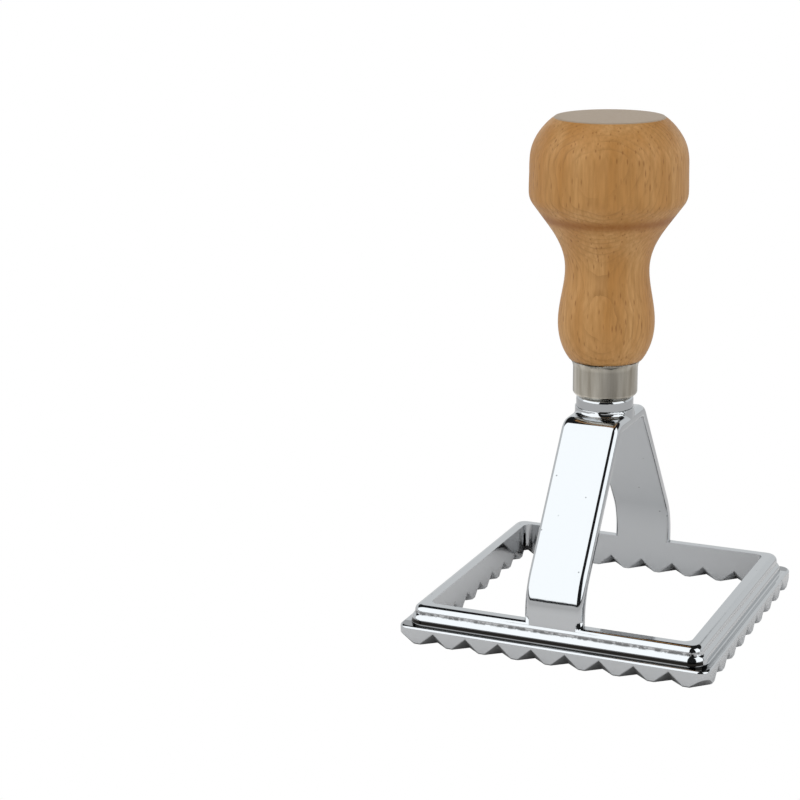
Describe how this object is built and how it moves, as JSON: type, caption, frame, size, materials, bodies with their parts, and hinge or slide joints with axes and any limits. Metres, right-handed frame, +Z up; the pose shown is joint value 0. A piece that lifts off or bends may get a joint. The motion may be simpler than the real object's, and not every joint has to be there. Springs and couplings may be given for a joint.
{
  "type": "ravioli stamp",
  "caption": "Square ravioli stamp: a chrome-plated ring with a zigzag cutting edge, two arms that meet under a ferrule, and a turned wooden knob handle.",
  "frame": {"origin": "centre of the square ring, on the surface that the cutting teeth stand on", "axes": "+Z up through the boss, ferrule and handle; the two arms stand on the sides of the ring that face -Y and +Y; +X runs across the arms"},
  "size_m": [0.07, 0.07, 0.1123],
  "materials": {
    "plated_casting": "bright chrome plating on a zinc die casting",
    "plated_sheet": "nickel-plated rolled steel sheet, drawn satin",
    "beech": "turned beech under clear satin lacquer"
  },
  "bodies": {
    "root": {"cutter_frame": "plated_casting", "ferrule": "plated_sheet", "handle": "beech"}
  },
  "joints": []
}
